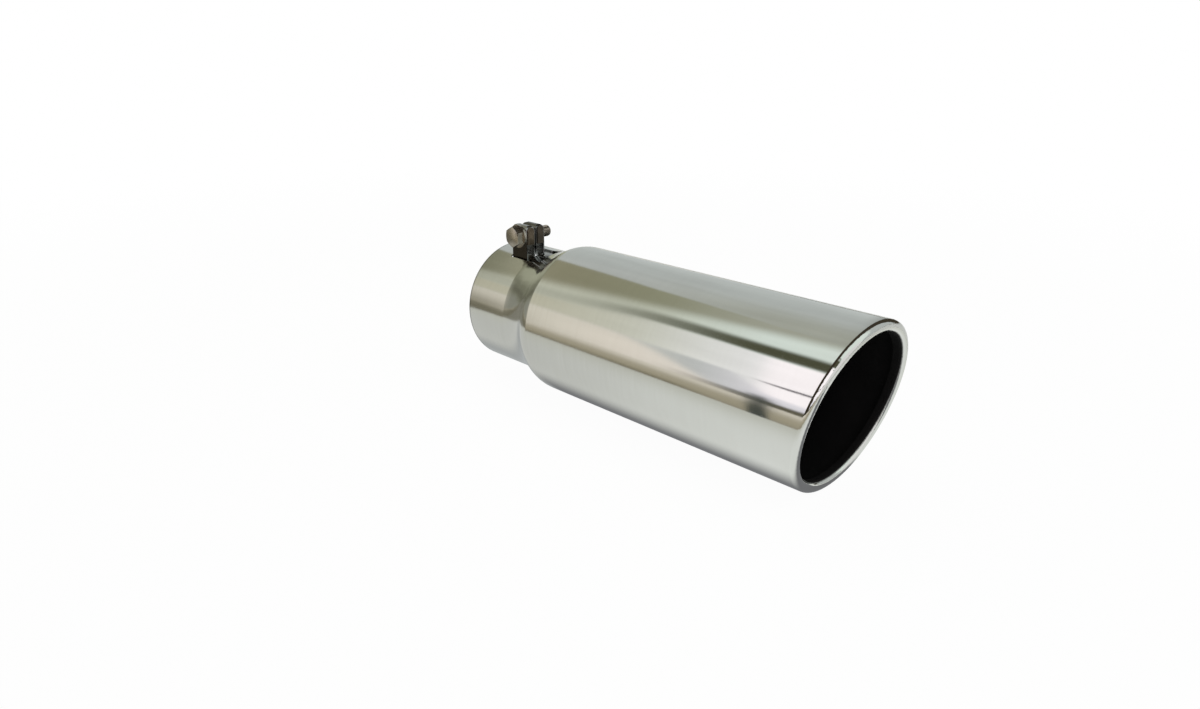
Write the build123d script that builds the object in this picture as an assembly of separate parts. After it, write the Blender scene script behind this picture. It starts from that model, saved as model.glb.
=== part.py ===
from build123d import *
from math import atan, cos, degrees, pi, radians, sin
import os

# Slash-cut exhaust tip with a rolled lip, held on the tailpipe by a strap clamp inside its neck.
# Millimetres. The origin is on the tip's axis in line with the clamp's bolt, +X runs toward the
# outlet, and +Z is up, toward the long side of the slanted mouth.

# Tip shell
tailpipe_diameter = 101.6
sheet = 1.5
inlet_to_clamp = 34.0
neck_length = 48.0
shoulder_length = 41.5
shoulder_rise = 9.7
crown_radius = 23.4
tip_length = 352.0
mouth_slant = 12.0
lip_radius = 4.0
lip_land = 0.2
lip_return = 8.0
inlet_edge_radius = 0.5

# Window in the neck
window_back_margin = 1.5
window_front_margin = 2.0
window_head_margin = 2.0
window_end_margin = 4.0
window_corner_radius = 2.0

# Clamp strap, its folded ears and the bars inside them
strap_width = 37.0
strap_thickness = 1.2
strap_bend_radius = 1.2
ear_width = 19.0
ear_depth = 9.4
ear_rise = 9.4
ear_corner_radius = 4.0
ear_gap = 1.2
bar_overhang = 1.0
bar_drop = 7.0
clamp_offset = 11.2
bolt_standoff = 16.0

# Bolt and washer
bolt_diameter = 10.0
bolt_length = 35.0
bolt_end_chamfer = 1.5
head_across_flats = 16.0
head_height = 6.4
head_chamfer = 0.9
washer_diameter = 20.0
washer_thickness = 2.0

# Fits, each measured on the radius
pipe_clearance = 0.1
strap_clearance = 0.2
bar_clearance = 0.1
bolt_clearance = 0.25
thread_clearance = 0.05

# How close two coordinates count as the same
near_enough = 0.01

# Radii that follow from the tailpipe and the fits
strap_inner = tailpipe_diameter / 2 + pipe_clearance
strap_outer = strap_inner + strap_thickness
neck_radius = strap_outer + strap_clearance + sheet
body_radius = neck_radius + shoulder_rise
mouth_radius = body_radius - 2 * lip_radius - lip_land

# Places of the clamp's parts, with the ears at the back of the strap
strap_back = -ear_width / 2
strap_front = strap_back + strap_width
bolt_height = strap_outer + bolt_standoff
near_ear_y = -clamp_offset - ear_gap / 2
far_ear_y = -clamp_offset + ear_gap / 2
washer_seat = Plane(origin=(0, near_ear_y - ear_depth, bolt_height), x_dir=(1, 0, 0), z_dir=(0, 1, 0))
head_seat = washer_seat.offset(-washer_thickness)

# Edges of the window, set off from the strap and its ears
window_back = strap_back - window_back_margin
window_front = strap_front + window_front_margin
window_near = near_ear_y - ear_depth - window_head_margin
window_far = far_ear_y + ear_depth + window_end_margin

# Holes for the bolt, plain and threaded
bolt_hole = Circle(bolt_diameter / 2 + bolt_clearance)
thread_hole = Circle(bolt_diameter / 2 + thread_clearance)

# Stations along the axis
inlet_x = -inlet_to_clamp
shoulder_x = inlet_x + neck_length
mouth_x = inlet_x + tip_length
past_mouth = body_radius + lip_return
mouth_plane = Plane(
    origin=(mouth_x, 0, 0),
    x_dir=(0, 1, 0),
    z_dir=(cos(radians(mouth_slant)), 0, -sin(radians(mouth_slant))),
)


def behind_mouth(solid, depth=0.0):
    """Keep what lies behind the slanted mouth plane, set back by depth."""
    return split(solid, bisect_by=mouth_plane.offset(-depth), keep=Keep.BOTTOM)


def front_edges(solid):
    """Edges of the face that lies farthest forward, square to the mouth plane."""
    return solid.faces().sort_by(Axis(mouth_plane.origin, mouth_plane.z_dir))[-1].edges()


def revolved_tube(inset, start_x):
    """Solid of revolution inside the tip's outer skin, set in from it by inset."""
    bend_angle = 2 * atan(shoulder_rise / shoulder_length)
    flare_radius = (shoulder_rise**2 + shoulder_length**2) / (2 * shoulder_rise) - crown_radius
    neck_line = Line((start_x, neck_radius - inset), (shoulder_x, neck_radius - inset))
    flare = JernArc(neck_line @ 1, (1, 0), flare_radius + inset, degrees(bend_angle))
    crown = JernArc(flare @ 1, flare % 1, crown_radius - inset, -degrees(bend_angle))
    body_line = Line(crown @ 1, (mouth_x + past_mouth, body_radius - inset))
    closing = Polyline(
        body_line @ 1,
        (mouth_x + past_mouth, 0),
        (start_x, 0),
        neck_line @ 0,
    )
    return revolve(make_face([neck_line, flare, crown, body_line, closing]), Axis.X)


def make_tip_body():
    """Sheet shell: neck, shoulder, body and a lip rolled inward and back on itself."""
    skin = behind_mouth(revolved_tube(0, inlet_x))
    skin = fillet(front_edges(skin), lip_radius)
    cavity = behind_mouth(revolved_tube(sheet, inlet_x - sheet), depth=sheet)
    cavity = fillet(front_edges(cavity), lip_radius - sheet)
    shell = skin - cavity

    # The rolled edge runs back inside the mouth as a short sleeve.
    rod = Pos(mouth_x, 0, 0) * Rot(0, 90, 0) * Cylinder(mouth_radius + sheet, 4 * past_mouth)
    sleeve = behind_mouth(rod) - behind_mouth(rod, depth=lip_return)
    shell = shell + sleeve
    inner_bend = [
        edge
        for edge in shell.edges().filter_by(GeomType.LINE, reverse=True)
        if abs(mouth_plane.to_local_coords(edge.center(CenterOf.BOUNDING_BOX)).Z + sheet) < near_enough
        and edge.length < 2 * pi * (mouth_radius + 2 * sheet)
    ]
    shell = fillet(inner_bend, lip_radius - sheet)
    shell -= Pos(mouth_x, 0, 0) * Rot(0, 90, 0) * Cylinder(mouth_radius, 4 * past_mouth)
    shell = fillet(front_edges(shell).sort_by(SortBy.LENGTH)[0], lip_radius)

    # Window for the clamp's ears, and an eased edge round the inlet.
    opening = Pos((window_back + window_front) / 2, (window_near + window_far) / 2) * RectangleRounded(
        window_front - window_back, window_far - window_near, window_corner_radius
    )
    shell -= extrude(opening, body_radius)
    inlet_face = shell.faces().sort_by(Axis.X)[0]
    return fillet(inlet_face.edges(), inlet_edge_radius)


def ear_outline(ear_y, outward, inset):
    """Section of a folded ear in the YZ plane: straight legs under a round fold, set in by inset."""
    middle = ear_y + outward * ear_depth / 2
    fold_radius = ear_depth / 2 - inset
    fold_height = bolt_height + ear_rise - ear_depth / 2
    legs = Pos(middle, fold_height / 2) * Rectangle(2 * fold_radius, fold_height)
    return legs + Pos(middle, fold_height) * Circle(fold_radius)


def ear_section(ear_y, outward):
    """One ear: the strap rises on the gap side, folds over and comes down to its own band."""
    outer = ear_outline(ear_y, outward, 0) - Circle(strap_inner)
    hollow = ear_outline(ear_y, outward, strap_thickness) - Circle(strap_outer)
    return outer - hollow


def strap_bends(section):
    """Corners where the strap turns up out of the ring into the ears, outside and inside the bend."""
    outside = []
    inside = []
    for ear_y, outward in ((near_ear_y, -1), (far_ear_y, 1)):
        for corner in section.vertices():
            reach = (corner.X - ear_y) * outward
            if abs(reach) < near_enough and 0 < corner.Y < strap_outer:
                outside.append(corner)
            if abs(reach - strap_thickness) < near_enough and 0 < corner.Y < bolt_height - ear_depth:
                inside.append(corner)
    return outside, inside


def make_clamp_band():
    """One strap: a ring inside the neck, open at the top, with a folded ear at the back of each end."""
    gap = Pos(-clamp_offset, strap_outer) * Rectangle(ear_gap, strap_outer)
    ring = Circle(strap_outer) - Circle(strap_inner) - gap
    section = ring
    for ear_y, outward in ((near_ear_y, -1), (far_ear_y, 1)):
        section += ear_section(ear_y, outward)
    section = fillet(strap_bends(section)[0], strap_bend_radius + strap_thickness)
    section = fillet(strap_bends(section)[1], strap_bend_radius)
    strap = extrude(Plane.YZ * section, ear_width / 2, both=True)

    # Round the ears' upper corners and drill both ears for the bolt.
    ear_top = bolt_height + ear_rise
    blank = Rectangle(ear_width, 2 * ear_top)
    blank = fillet(blank.vertices().group_by(Axis.Y)[-1], ear_corner_radius)
    strap = strap & extrude(Plane.XZ * blank, 2 * strap_outer, both=True)
    strap -= extrude(washer_seat * bolt_hole, 2 * ear_depth + ear_gap)
    return strap + extrude(Plane.YZ.offset(ear_width / 2) * ring, strap_width - ear_width)


def make_ear_bar(ear_y, outward, hole):
    """Bar that fills the top of an ear, stands out of both its ends and takes the bolt's pull."""
    filling = ear_outline(ear_y, outward, strap_thickness + bar_clearance)
    open_height = bolt_height - bar_drop
    below = Pos(ear_y, open_height / 2) * Rectangle(4 * ear_depth, open_height)
    bar = extrude(Plane.YZ * (filling - below), ear_width / 2 + bar_overhang, both=True)
    return bar - extrude(washer_seat * hole, 2 * ear_depth + ear_gap)


def make_bolt_washer():
    """Flat washer between the bolt's head and the near ear."""
    ring = Circle(washer_diameter / 2) - bolt_hole
    return extrude(head_seat * ring, washer_thickness)


def make_clamp_bolt():
    """Hex bolt with a bevelled head, its end past the threaded bar."""
    hexagon = RegularPolygon(head_across_flats / 2, 6, major_radius=False, rotation=30)
    turned = Pos(0, 0, -head_height / 2) * Cylinder(head_across_flats / 2 / cos(pi / 6), head_height)
    turned = chamfer(turned.edges().sort_by(Axis.Z)[0], head_chamfer, 2 * head_chamfer)
    head = extrude(hexagon, -head_height) & turned
    shank = Pos(0, 0, bolt_length / 2) * Cylinder(bolt_diameter / 2, bolt_length)
    shank = chamfer(shank.edges().sort_by(Axis.Z)[-1], bolt_end_chamfer)
    return head_seat * (head + shank)


os.makedirs("parts", exist_ok=True)
pieces = {
    "tip_body": make_tip_body(),
    "clamp_band": make_clamp_band(),
    "head_bar": make_ear_bar(near_ear_y, -1, bolt_hole),
    "nut_bar": make_ear_bar(far_ear_y, 1, thread_hole),
    "bolt_washer": make_bolt_washer(),
    "clamp_bolt": make_clamp_bolt(),
}
for node, piece in pieces.items():
    export_step(piece, f"parts/{node}.step")
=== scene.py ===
from functools import partial
from math import asin, cos, degrees, pi, radians, sin

import bmesh
import bpy
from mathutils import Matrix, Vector


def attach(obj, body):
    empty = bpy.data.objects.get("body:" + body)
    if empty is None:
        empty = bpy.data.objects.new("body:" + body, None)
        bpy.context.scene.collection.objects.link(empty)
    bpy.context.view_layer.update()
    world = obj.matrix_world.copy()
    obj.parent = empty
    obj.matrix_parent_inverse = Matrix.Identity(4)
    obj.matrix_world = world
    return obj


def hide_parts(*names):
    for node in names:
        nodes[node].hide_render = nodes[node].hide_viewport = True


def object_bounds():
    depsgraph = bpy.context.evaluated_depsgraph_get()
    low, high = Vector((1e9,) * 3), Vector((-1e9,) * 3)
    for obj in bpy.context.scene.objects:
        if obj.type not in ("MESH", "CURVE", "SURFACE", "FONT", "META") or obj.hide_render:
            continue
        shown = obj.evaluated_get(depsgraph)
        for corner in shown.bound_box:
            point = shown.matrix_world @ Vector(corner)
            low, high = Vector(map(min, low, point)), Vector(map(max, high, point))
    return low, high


# Looks of a slash-cut exhaust tip: brushed stainless shell, polished lip, black inside, bolted strap clamp.
# Metres, in the part's own frame: +X toward the outlet, +Z up, the clamp bolt along Y with its head at -Y.

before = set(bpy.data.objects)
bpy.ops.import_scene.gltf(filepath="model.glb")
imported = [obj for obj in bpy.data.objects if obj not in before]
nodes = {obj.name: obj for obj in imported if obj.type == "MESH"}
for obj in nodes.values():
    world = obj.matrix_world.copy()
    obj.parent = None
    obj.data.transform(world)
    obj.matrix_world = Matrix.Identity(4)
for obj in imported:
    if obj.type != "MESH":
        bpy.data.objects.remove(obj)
cad_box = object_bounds()
scene = bpy.context.scene

# Shell, the widest piece and the one that reaches farthest back
low_corner, high_corner = cad_box
body_radius = high_corner[1]
inlet_x = low_corner[0]
# Where the painted dark reflection along the inlet's edge is full, and where it has faded out.
inlet_reflection_full = inlet_x + 0.0008
inlet_reflection_end = inlet_x + 0.0022
mouth_x = 0.318
mouth_slant = radians(12)
lip_radius = 0.004

# Clamp strap, with the weld spots on it
strap_radius = 0.0521
weld_places = [(0.0118, -0.0065), (0.0172, -0.0082)]
weld_radius = 0.0011
weld_height = 0.0005
weld_sink = 0.0001

# Painted shade on the clamp's ears: where it lies across them and up them, and how softly it ends
near_leg_y = -0.0209
near_leg_fade = 0.0008
gap_leg_y = -0.0132
ears_gap_y = -0.0112
shade_fade = 0.0006
ear_foot_height = 0.056
ear_middle_height = 0.062
ear_fold_height = 0.074

# Bolt, with a coarse M10 thread
bolt_height = 0.0681
bolt_radius = 0.005
bolt_length = 0.035
bolt_end_chamfer = 0.0015
thread_pitch = 0.0015
thread_depth = 0.0009
crest_share = 0.12
flank_share = 0.7
head_seat_y = -0.0232
head_height = 0.0064
head_across_flats = 0.016
head_chamfer = 0.0009
bevel_run_per_rise = 2

# How finely the shapes are cut up, where their edges turn sharp, and how wide the worn edges with their
# painted highlight are
bolt_steps = 60
rows_per_thread = 10
weld_steps = 16
weld_levels = 4
tent_steps = 96
sharp_angle = radians(35)
worn_highlight_edge_radius = 0.0003

# Colours of steel, its painted dark reflection and its worn edges with their painted highlight, and of
# painted shade inside the shell and on the clamp
dull_steel = (0.60, 0.595, 0.57, 1)
bright_steel = (0.68, 0.68, 0.66, 1)
scratched_steel = (0.52, 0.51, 0.48, 1)
inlet_reflection_steel = (0.16, 0.16, 0.155, 1)
worn_highlight_edge_steel = (0.62, 0.62, 0.62, 1)
dark_inside_shade = (0.004, 0.004, 0.004, 1)
pale_inside_shade = (0.010, 0.009, 0.009, 1)
brown_painted_shade = (0.06, 0.053, 0.045, 1)

# Camera, fitted to the photo
camera_place = Vector((0.56614, -0.47709, 0.23152))
camera_ahead = Vector((-0.66919, 0.65397, -0.35285))
camera_lens = 25.538
camera_sensor = 36

# Studio: a floor, a tent over it, a mat under the part with a painted shadow of it, an apron in front of
# the mat, and a lamp
floor_height = -body_radius
floor_reach = 8.0
tent_radius = 2.5
tent_start = -6.0
tent_end = 4.0
mat_end = 0.6
mat_lift = 0.0005
apron_start = 0.265
apron_lift = 0.001
lamp_place = (0.15, 0, 2.0)
lamp_size = 2.0
lamp_power = 17

# How the shell mirrors the studio: what share of the light, and which spots show where along it
steel_reflectance = (0.62, 0.62, 0.59)
screen_gamma = 2.2
mirror_front = 0.055
mirror_shift = 1.203
mirror_spread = 2.125
body_start = 0.06
body_span = 0.24


class Signal:
    """An output socket that takes part in Python arithmetic by adding Math nodes."""

    def __init__(self, finish, socket):
        self.finish = finish
        self.socket = socket

    def output(self, name):
        """Another output of the same node."""
        return Signal(self.finish, self.socket.node.outputs[name])

    def math(self, operation, *values):
        return self.finish.node("Math", {"operation": operation}, dict(enumerate(values)))

    def __add__(self, other):
        return self.math("ADD", self, other)

    def __radd__(self, other):
        return self.math("ADD", other, self)

    def __sub__(self, other):
        return self.math("SUBTRACT", self, other)

    def __rsub__(self, other):
        return self.math("SUBTRACT", other, self)

    def __mul__(self, other):
        return self.math("MULTIPLY", self, other)

    def __rmul__(self, other):
        return self.math("MULTIPLY", other, self)

    def __truediv__(self, other):
        return self.math("DIVIDE", self, other)

    def __abs__(self):
        return self.math("ABSOLUTE", self)

    def above(self, start, end):
        """0 below start and 1 past end, with a smooth step between them."""
        settings = {"interpolation_type": "SMOOTHSTEP"}
        return self.finish.node("MapRange", settings, {"Value": self, "From Min": start, "From Max": end})

    def between(self, low, high, softness):
        """1 from low to high, fading to 0 over softness on both sides."""
        return self.above(low - softness, low) * (1 - self.above(high, high + softness))


class Finish:
    """A node tree under construction, for a material or for the world."""

    def __init__(self, owner):
        owner.use_nodes = True
        self.tree = owner.node_tree
        self.tree.nodes.clear()

    def node(self, kind, settings=None, values=None, output=0):
        """One node: its settings first, then the values or links of its sockets. Returns one output."""
        made = self.tree.nodes.new("ShaderNode" + kind)
        for name, value in (settings or {}).items():
            if name == "stops":
                self.fill_ramp(made.color_ramp.elements, value)
            else:
                setattr(made, name, value)
        for name, value in (values or {}).items():
            socket = made.inputs[name]
            if isinstance(value, Signal):
                self.tree.links.new(value.socket, socket)
            else:
                socket.default_value = value
        return Signal(self, made.outputs[output]) if made.outputs else None

    def fill_ramp(self, elements, stops):
        """Set a ramp's elements to (position, colour) stops."""
        while len(elements) < len(stops):
            elements.new(1.0)
        for element, (position, colour) in zip(elements, stops):
            element.position = position
            element.color = colour

    def ramp(self, factor, *stops):
        """A colour that runs along a factor through (position, screen colour) stops."""
        mirrored_stops = [(position, mirrored(*colour)) for position, colour in stops]
        return self.node("ValToRGB", {"stops": mirrored_stops}, {"Fac": factor})

    def place(self):
        """Position in the part's frame."""
        return self.node("TexCoord", output="Object")

    def normal(self):
        return self.node("NewGeometry", output="Normal")

    def axes(self, vector):
        """The parts of a vector, as the outputs X, Y and Z."""
        return self.node("SeparateXYZ", {}, {0: vector})

    def dot(self, vector, other):
        return self.node("VectorMath", {"operation": "DOT_PRODUCT"}, {0: vector, 1: other}, "Value")

    def scaled(self, vector, factors):
        return self.node("VectorMath", {"operation": "MULTIPLY"}, {0: vector, 1: factors})

    def noise(self, vector, scale, detail=2.0, roughness=0.5):
        values = {"Vector": vector, "Scale": scale, "Detail": detail, "Roughness": roughness}
        return self.node("TexNoise", {}, values, "Fac")

    def mix(self, factor, low, high):
        """A colour between two others."""
        return self.node("Mix", {"data_type": "RGBA"}, {0: factor, 6: low, 7: high}, 2)

    def bump(self, height, strength, distance):
        return self.node("Bump", {}, {"Height": height, "Strength": strength, "Distance": distance})

    def glow(self, colour):
        """A surface that shines with a colour."""
        return self.node("Emission", {}, {"Color": colour, "Strength": 1.0})

    def surface(self, shader, kind="Material"):
        self.node("Output" + kind, {}, {"Surface": shader})


def new_material(name):
    material = bpy.data.materials.new(name)
    return material, Finish(material)


def grey(level):
    return (level, level, level, 1)


def linear(value):
    """Linear light of one 8-bit screen value."""
    return (value / 255) ** screen_gamma


def mirrored(*colour):
    """Light that shows in the steel shell as the given screen colour, red, green and blue."""
    return (*(linear(value) / share for value, share in zip(colour, steel_reflectance)), 1)


def mirror_station(x, outward):
    """Where along the shell a spot of the studio shows, from its x and its distance from the axis."""
    reach = outward - mirror_front
    return (x + mirror_shift * reach) / (1 + mirror_spread * reach)


def brushed_stainless():
    """Shell: brushed round the axis outside, a painted dark reflection at the inlet edge, a polished lip
    and a matt inside painted black as shade.
    """
    material, finish = new_material("brushed_stainless")
    place = finish.place()
    station = finish.axes(place).output("X")

    # Which way the surface faces, and how far it lies behind the slanted mouth.
    spoke = finish.node("VectorMath", {"operation": "NORMALIZE"}, {0: finish.scaled(place, (0, 1, 1))})
    inside = 1 - finish.dot(finish.normal(), spoke).above(-0.9, -0.7)
    mouth_normal = (cos(mouth_slant), 0, -sin(mouth_slant))
    to_mouth = finish.dot(place, mouth_normal) - mouth_x * cos(mouth_slant)
    polished = to_mouth.above(-1.2 * lip_radius, -0.9 * lip_radius)

    # Hairlines run round the axis, so the noise is drawn out across it. They fade toward the mouth.
    hairlines = finish.noise(finish.scaled(place, (1, 0.02, 0.02)), scale=2600, detail=3, roughness=0.6)
    streaks = finish.noise(finish.scaled(place, (1, 0.06, 0.06)), scale=420)
    clouds = finish.noise(place, scale=14, detail=3, roughness=0.55)
    brushed = (1 - polished) * (1 - 0.6 * station.above(0.1, 0.28))
    roughness = 0.05 + brushed * (0.02 + 0.07 * hairlines + 0.03 * clouds)

    # Steel in soft clouds, darker along the brushing, with a painted dark reflection at the cut edge of the
    # inlet, and near black inside as painted shade.
    steel = finish.mix(clouds, dull_steel, bright_steel)
    steel = finish.mix(brushed * (0.3 * streaks + 0.3 * hairlines), steel, scratched_steel)
    inlet_dark_reflection = 1 - station.above(inlet_reflection_full, inlet_reflection_end)
    steel = finish.mix(0.75 * inlet_dark_reflection, steel, inlet_reflection_steel)
    # Painted shade inside the tube, near black in soft clouds.
    inside_shade_clouds = finish.noise(place, scale=60, detail=4, roughness=0.6)
    inside_shade = finish.mix(inside_shade_clouds, dark_inside_shade, pale_inside_shade)
    shader = finish.node(
        "BsdfPrincipled",
        {},
        {
            "Base Color": finish.mix(inside, steel, inside_shade),
            "Metallic": 1 - inside,
            "Roughness": roughness + inside * 0.7,
            "Specular IOR Level": 0.1,
            "Normal": finish.bump(hairlines * brushed, strength=0.03, distance=0.0002),
        },
    )
    finish.surface(shader)
    return material


def strap_painted_shade(axes):
    """Painted shade low on the near ear's outer leg, between the ears and on the far ear."""
    across = axes.output("Y")
    height = axes.output("Z")
    outer_leg = 1 - across.above(near_leg_y, near_leg_y + near_leg_fade)
    outer_leg = outer_leg * (1 - height.above(ear_middle_height, ear_fold_height))
    far_ear = across.above(gap_leg_y, gap_leg_y + shade_fade)
    far_ear = far_ear * height.above(ear_foot_height, ear_middle_height)
    return outer_leg + 0.65 * far_ear


def bar_painted_shade(axes):
    """Painted shade on the bar of the far ear."""
    return 0.7 * axes.output("Y").above(ears_gap_y, ears_gap_y + shade_fade)


def worn_steel(name, dull, bright, roughness, grain, edge_wear_and_highlight=0.6, painted_shade=None):
    """Steel with rolling lines, blotches, worn edges lightened partly as a painted highlight, and painted
    shade where a function puts it.
    """
    material, finish = new_material(name)
    place = finish.place()
    lines = finish.noise(finish.scaled(place, grain), scale=1500)
    blotches = finish.noise(place, scale=160, detail=4, roughness=0.6)
    rounded = finish.node("Bevel", {"samples": 4}, {"Radius": worn_highlight_edge_radius})
    edges = 1 - finish.dot(finish.normal(), rounded).above(0.9, 0.995)
    colour = finish.mix(blotches.above(0.3, 0.75), dull, bright)
    # Edges lighter: partly wear, partly a painted highlight.
    colour = finish.mix(edges * edge_wear_and_highlight, colour, worn_highlight_edge_steel)
    # Painted shade, dark brown, where the given function puts it.
    if painted_shade:
        colour = finish.mix(painted_shade(finish.axes(place)), colour, brown_painted_shade)
    shader = finish.node(
        "BsdfPrincipled",
        {},
        {
            "Base Color": colour,
            "Metallic": 1.0,
            "Roughness": roughness + 0.12 * blotches - 0.1 * edges,
            "Normal": finish.bump(lines, strength=0.08, distance=0.0001),
        },
    )
    finish.surface(shader)
    return material


def tent_panels(finish, shown, along, height):
    """Ceiling, drape, light strip and pale panels, in bands that lean along the tent, and a dark seam."""
    # Edges of the bands, in degrees round the axis, from level in front of the part to overhead.
    ceiling_edge = 111 - 15 * along
    drape_edge = 68 + 22 * along
    seam = 50 + 13 * along.above(0.0, 0.6)
    middle_edge = 26 - 15 * along.above(0.8, 0.97)
    lower_edge = 26 - 26 * along.above(0.35, 0.9)

    # Colours from the end at the shoulder to the end at the mouth. The drape also shows along the neck.
    drape = finish.ramp(along, (0.0, (129, 126, 103)), (0.5, (132, 133, 110)), (0.9, (152, 154, 139)))
    drape = finish.mix(shown.above(0.02, 0.05), mirrored(152, 152, 131), drape)
    drape = finish.mix(shown.above(-0.004, 0.012), mirrored(113, 113, 93), drape)
    strip = finish.ramp(along, (0.0, (180, 182, 164)), (0.5, (180, 184, 167)), (0.9, (204, 214, 204)))
    upper = finish.ramp(
        along,
        (0.0, (177, 175, 154)),
        (0.46, (188, 189, 174)),
        (0.7, (209, 210, 203)),
        (0.9, (221, 221, 218)),
        (0.94, (248, 242, 241)),
    )
    middle = finish.ramp(along, (0.4, (182, 184, 174)), (0.7, (176, 179, 175)), (0.95, (214, 212, 215)))
    lower = finish.ramp(along, (0.0, (198, 194, 178)), (0.4, (214, 207, 193)), (0.8, (213, 207, 195)))
    ceiling = finish.mix(along.above(0.2, 1.0), mirrored(168, 172, 167), mirrored(154, 157, 145))
    ceiling = finish.mix(height.above(105, 140), ceiling, mirrored(165, 170, 165))

    # The bands from the top down, and the shade of the seam.
    colour = finish.mix(height.above(ceiling_edge - 1, ceiling_edge + 1), drape, ceiling)
    colour = finish.mix(height.above(drape_edge - 10, drape_edge + 5), strip, colour)
    colour = finish.mix(height.above(seam - 9, seam - 7), upper, colour)
    colour = finish.mix(height.above(middle_edge - 3, middle_edge + 1), middle, colour)
    colour = finish.mix(height.above(lower_edge - 4, lower_edge + 2), lower, colour)
    seam_shade = height.above(seam - 9, seam - 5) * (1 - height.above(seam + 2, seam + 9))
    seam_shade = seam_shade * (0.15 + 0.85 * along.above(0.0, 0.9))
    return finish.mix(seam_shade, colour, mirrored(72, 73, 57))


def tent_fittings(finish, along, height, colour):
    """A slack cord, a dark hem at the foot and a post that stands in front of it, all near the mouth."""
    cord = height.between(23.6, 25.0, 0.6) * along.above(0.9, 0.96)
    hem = (1 - height.above(2, 5)) * along.above(0.5, 1.0)
    post = along.between(0.905, 0.963, 0.008) * (1 - height.above(4, 9))
    colour = finish.mix(cord, colour, mirrored(70, 67, 70))
    colour = finish.mix(hem, colour, mirrored(84, 81, 66))
    return finish.mix(post, colour, mirrored(66, 70, 66))


def tent_shades(finish, axes, along, height, colour):
    """Shade low down past the shoulder, a dark arch past the mouth, and the dim far end."""
    x = axes.output("X")
    low_shade = (1 - along.above(-0.15, 0.0)) * (1 - height.above(-5, 25))
    colour = finish.mix(low_shade * 0.8, colour, mirrored(122, 118, 100))
    colour = finish.mix(x.between(-0.75, 0.8, 0.15), colour, mirrored(56, 52, 43))

    # The far end has a dark line across its middle and is palest high up at the back.
    climb = axes.output("Z") + axes.output("Y")
    far_end = finish.mix(climb.above(-1.4, -0.2), mirrored(126, 127, 115), mirrored(109, 110, 93))
    far_end = finish.mix(climb.above(0.9, 2.4), far_end, mirrored(144, 146, 125))
    far_end = finish.mix(0.6 * climb.between(-0.1, 0.2, 0.5), far_end, mirrored(86, 85, 73))
    return finish.mix(x.above(-3.5, -3.1), far_end, colour)


def tent_bands():
    """Inside of the light tent, as the shell mirrors it, with soft folds in its cloth."""
    material, finish = new_material("tent_bands")
    place = finish.place()
    axes = finish.axes(place)
    shown = mirror_station(axes.output("X"), tent_radius)
    along = (shown - body_start) / body_span
    folds = finish.noise(place, scale=2.2, detail=3, roughness=0.55) - 0.5
    height = axes.math("ARCTAN2", axes.output("Z"), 0 - axes.output("Y")) * degrees(1) + 5 * folds
    colour = tent_panels(finish, shown, along, height)
    colour = tent_fittings(finish, along, height, colour)
    colour = tent_shades(finish, axes, along, height, colour)
    colour = finish.node("VectorMath", {"operation": "SCALE"}, {0: colour, "Scale": 1 + 0.25 * folds})
    finish.surface(finish.glow(colour))
    return material


def floor_paper():
    """White paper floor: nearly white near the part, with its shadow kept, and pure white farther off."""
    material, finish = new_material("floor_paper")
    place = finish.place()
    fibres = finish.noise(place, scale=900, detail=3, roughness=0.6)
    paper = finish.node("BsdfDiffuse", {}, {"Color": finish.mix(fibres, grey(0.88), grey(0.92))})
    path = finish.node("LightPath", output="Is Camera Ray")
    distance = finish.node("VectorMath", {"operation": "LENGTH"}, {0: place}, "Value")
    whiteness = 0.965 + 0.035 * distance.above(0.4, 1.5)
    seen = whiteness * (path + path.output("Is Transmission Ray")) + 0.05 * path.output("Is Glossy Ray")
    finish.surface(finish.node("MixShader", {}, {0: seen, 1: paper, 2: finish.glow(grey(1.0))}))
    return material


def apron_cloth():
    """Cloth in front of the mat, darker at its near hem and toward the inlet, with a dark post's foot."""
    material, finish = new_material("apron_cloth")
    axes = finish.axes(finish.place())
    outward = 0 - axes.output("Y")
    station = mirror_station(axes.output("X"), outward)
    cloth = finish.mix(outward.above(0.3, 1.1), mirrored(148, 142, 121), mirrored(190, 185, 169))
    hem = finish.mix(station.above(0.2, 0.26), mirrored(108, 103, 85), mirrored(138, 133, 115))
    cloth = finish.mix(outward.above(0.27, 0.36), hem, cloth)
    shaded = finish.mix(outward.above(0.3, 1.6), mirrored(106, 103, 87), mirrored(146, 142, 124))
    cloth = finish.mix(station.above(0.02, 0.045), shaded, cloth)
    colour = finish.mix(station.between(0.277, 0.291, 0.002), cloth, mirrored(62, 66, 62))
    finish.surface(finish.glow(colour))
    return material


def felt_mat_with_painted_shadow():
    """Pale felt mat under the part, with a painted shadow of the part along its middle, and darker far
    behind the inlet.
    """
    material, finish = new_material("felt_mat_with_painted_shadow")
    axes = finish.axes(finish.place())
    x = axes.output("X")
    outward = abs(axes.output("Y"))
    station = mirror_station(x, outward)
    pale = finish.mix(station.above(0.0, 0.3), mirrored(178, 180, 173), mirrored(199, 202, 195))
    pale = finish.mix(outward.above(0.1, 0.25), pale, mirrored(178, 180, 169))
    # Painted shadow of the part along the mat's middle.
    dark = finish.mix(station.above(0.0, 0.03), mirrored(146, 149, 146), mirrored(102, 103, 103))
    colour = finish.mix(outward.above(0.03, 0.062), dark, pale)
    colour = finish.mix(x.above(-0.3, -0.24), mirrored(117, 116, 104), colour)
    finish.surface(finish.glow(colour))
    return material


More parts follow.
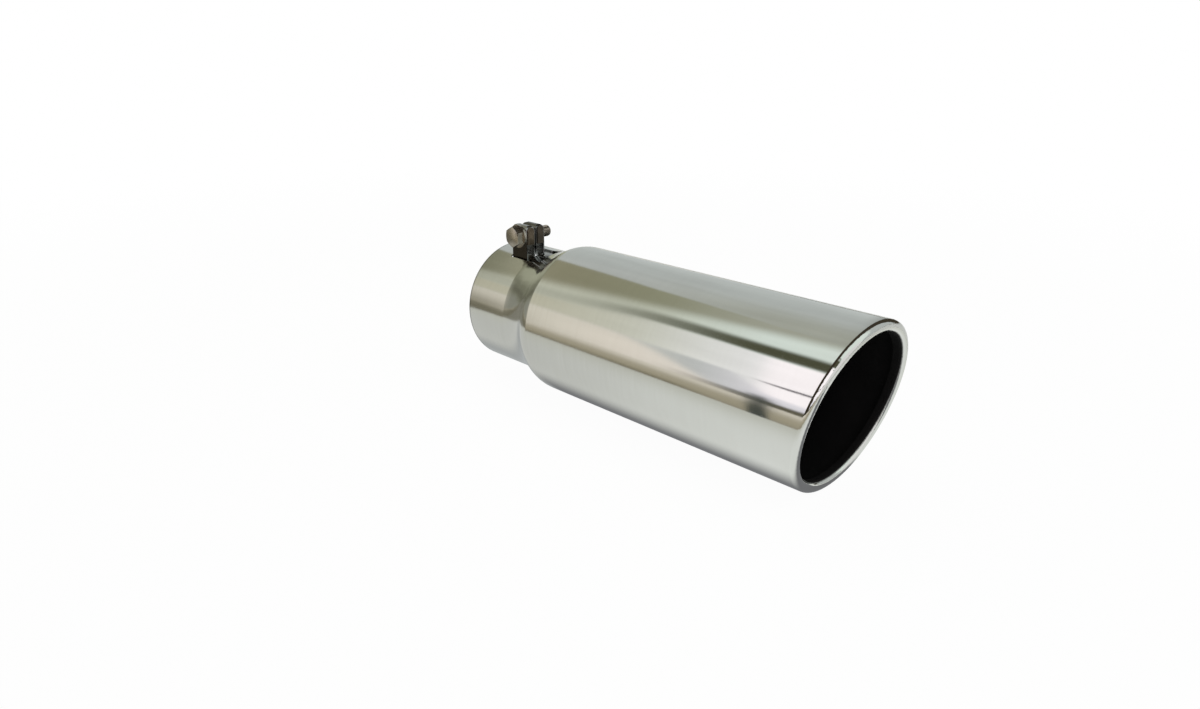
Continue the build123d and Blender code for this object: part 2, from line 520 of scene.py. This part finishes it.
def white_world():
    """White to the camera, to reflections and through glass, and an even grey for everything else."""
    world = bpy.data.worlds.new("studio")
    scene.world = world
    finish = Finish(world)
    path = finish.node("LightPath", output="Is Camera Ray")
    seen = path + path.output("Is Glossy Ray") + path.output("Is Transmission Ray")
    level = 0.7 + 0.3 * seen.above(0.0, 1.0)
    finish.surface(finish.node("Background", {}, {"Color": grey(1.0), "Strength": level}), "World")


def mesh_object(name, fill, material):
    """A new object whose mesh is filled by a function that is given a bmesh."""
    mesh = bpy.data.meshes.new(name)
    made = bmesh.new()
    fill(made)
    bmesh.ops.recalc_face_normals(made, faces=made.faces)
    for face in made.faces:
        face.smooth = True
    made.to_mesh(mesh)
    made.free()
    mesh.set_sharp_from_angle(angle=sharp_angle)
    mesh.materials.append(material)
    piece = bpy.data.objects.new(name, mesh)
    scene.collection.objects.link(piece)
    return piece


def skin(made, rings):
    """Faces from each ring of corners to the next, and one over each end."""
    for near, far in zip(rings, rings[1:]):
        for i in range(len(near)):
            made.faces.new((near[i - 1], near[i], far[i], far[i - 1]))
    made.faces.new(rings[0])
    made.faces.new(rings[-1])


def rectangle(x_low, x_high, y_low, y_high, height):
    """A function that fills a mesh with one level rectangle."""

    def fill(made):
        corners = [(x_low, y_low), (x_high, y_low), (x_high, y_high), (x_low, y_high)]
        made.faces.new([made.verts.new((x, y, height)) for x, y in corners])

    return fill


def tent_shape(made):
    """Half a cylinder that stands on the floor, closed at its far end."""
    below = asin(-floor_height / tent_radius)
    angles = [(pi + 2 * below) * i / tent_steps - below for i in range(tent_steps + 1)]
    arches = []
    for x in (tent_start, tent_end):
        arches.append([made.verts.new((x, -tent_radius * cos(a), tent_radius * sin(a))) for a in angles])
    far, near = arches
    for i in range(tent_steps):
        made.faces.new((far[i], far[i + 1], near[i + 1], near[i]))
    made.faces.new(far)


def hide_from_camera(piece, lights_floor=False):
    """A stage piece that shows in reflections but not to the camera, and may light the floor."""
    piece.visible_camera = False
    piece.visible_shadow = False
    piece.visible_diffuse = lights_floor


def build_studio():
    """World, floor, light tent, mat and apron."""
    white_world()
    floor_sheet = rectangle(-floor_reach, floor_reach, -floor_reach, floor_reach, floor_height)
    floor = mesh_object("floor", floor_sheet, floor_paper())
    tent = mesh_object("light_tent", tent_shape, tent_bands())
    hide_from_camera(tent, lights_floor=True)
    mat_sheet = rectangle(tent_start, mat_end, -apron_start, apron_start, floor_height + mat_lift)
    mat = mesh_object("mat", mat_sheet, felt_mat_with_painted_shadow())
    hide_from_camera(mat)
    apron_sheet = rectangle(tent_start, tent_end, -tent_radius, -apron_start, floor_height + apron_lift)
    apron = mesh_object("apron", apron_sheet, apron_cloth())
    hide_from_camera(apron)


def add_lamp():
    """Wide lamp over the part, which the steel doesn't mirror."""
    lamp = bpy.data.lights.new("overhead", "AREA")
    lamp.size = lamp_size
    lamp.energy = lamp_power
    overhead = bpy.data.objects.new("overhead", lamp)
    overhead.location = lamp_place
    overhead.visible_glossy = False
    scene.collection.objects.link(overhead)


def add_camera():
    """Camera that stands where the photo was taken."""
    lens = bpy.data.cameras.new("camera")
    lens.sensor_width = camera_sensor
    lens.lens = camera_lens
    camera = bpy.data.objects.new("camera", lens)
    camera.location = camera_place
    camera.rotation_mode = "QUATERNION"
    camera.rotation_quaternion = camera_ahead.to_track_quat("-Z", "Y")
    scene.collection.objects.link(camera)
    scene.camera = camera


def hexagon_radius(angle):
    """Distance from the head's middle to its sides, with a corner straight up."""
    from_flat = (angle + pi / 6) % (pi / 3) - pi / 6
    return head_across_flats / 2 / cos(from_flat)


def thread_profile(axial, angle):
    """Radius and place along the bolt of its right-hand thread, tapered at the bolt's end."""
    phase = (axial / thread_pitch + angle / (2 * pi)) % 1.0
    from_crest = abs(2 * phase - 1)
    down_flank = min(max((from_crest - crest_share) / flank_share, 0.0), 1.0)
    taper = bolt_radius - bolt_end_chamfer + bolt_length - axial
    return min(bolt_radius - thread_depth * down_flank, taper), axial


def bolt_shape(made):
    """Bolt with a bevelled hexagon head and a cut thread, skinned through rings from head to end."""
    face_radius = head_across_flats / 2 / cos(pi / 6) - bevel_run_per_rise * head_chamfer

    def face(angle):
        return face_radius, -head_height

    def bevel(angle):
        radius = hexagon_radius(angle)
        return radius, (radius - face_radius) / bevel_run_per_rise - head_height

    def seat(angle):
        return hexagon_radius(angle), 0.0

    rows = round(rows_per_thread * bolt_length / thread_pitch)
    profiles = [face, bevel, seat]
    profiles += [partial(thread_profile, bolt_length * row / rows) for row in range(rows + 1)]
    rings = []
    for profile in profiles:
        ring = []
        for i in range(bolt_steps):
            angle = 2 * pi * i / bolt_steps
            radius, axial = profile(angle)
            corner = (radius * cos(angle), head_seat_y + axial, bolt_height + radius * sin(angle))
            ring.append(made.verts.new(corner))
        rings.append(ring)
    skin(made, rings)


def weld_shape(made):
    """Low weld domes on the strap, beside the gap between its ends."""
    for x, y in weld_places:
        lean = asin(y / strap_radius)
        spread = Vector((0, cos(lean), -sin(lean)))
        rise = Vector((0, sin(lean), cos(lean)))
        foot = Vector((x, 0, 0)) + rise * (strap_radius - weld_sink)
        rings = []
        for level in range(weld_levels):
            tilt = pi / 2 * level / weld_levels
            middle = foot + rise * (weld_height * sin(tilt))
            reach = weld_radius * cos(tilt)
            ring = []
            for i in range(weld_steps):
                turn = 2 * pi * i / weld_steps
                along = Vector((reach * cos(turn), 0, 0))
                ring.append(made.verts.new(middle + along + spread * (reach * sin(turn))))
            rings.append(ring)
        skin(made, rings)


def dress(node, material):
    """Give a CAD node a material."""
    slots = nodes[node].data.materials
    slots.clear()
    slots.append(material)


scene.view_settings.view_transform = "Standard"
build_studio()
add_lamp()
add_camera()

strap_finish = worn_steel(
    "strap_steel",
    dull=grey(0.25),
    bright=grey(0.48),
    roughness=0.14,
    grain=(0.05, 1, 1),
    edge_wear_and_highlight=0.25,
    painted_shade=strap_painted_shade,
)
bar_finish = worn_steel(
    "bar_steel",
    dull=(0.09, 0.07, 0.05, 1),
    bright=(0.19, 0.15, 0.11, 1),
    roughness=0.3,
    grain=(1, 0.05, 0.05),
    edge_wear_and_highlight=0.3,
    painted_shade=bar_painted_shade,
)
fastener_finish = worn_steel(
    "fastener_steel",
    dull=(0.29, 0.26, 0.22, 1),
    bright=(0.46, 0.42, 0.36, 1),
    roughness=0.2,
    grain=(1, 1, 1),
)
weld_finish = worn_steel(
    "weld_steel",
    dull=(0.6, 0.59, 0.57, 1),
    bright=(0.8, 0.8, 0.78, 1),
    roughness=0.12,
    grain=(1, 1, 1),
)
dress("tip_body", brushed_stainless())
dress("clamp_band", strap_finish)
dress("head_bar", bar_finish)
dress("nut_bar", bar_finish)
dress("bolt_washer", fastener_finish)
dress("clamp_bolt", fastener_finish)

bolt = mesh_object("threaded_bolt", bolt_shape, fastener_finish)
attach(bolt, "bolt")
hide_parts("clamp_bolt")
welds = mesh_object("weld_spots", weld_shape, weld_finish)
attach(welds, "tip")
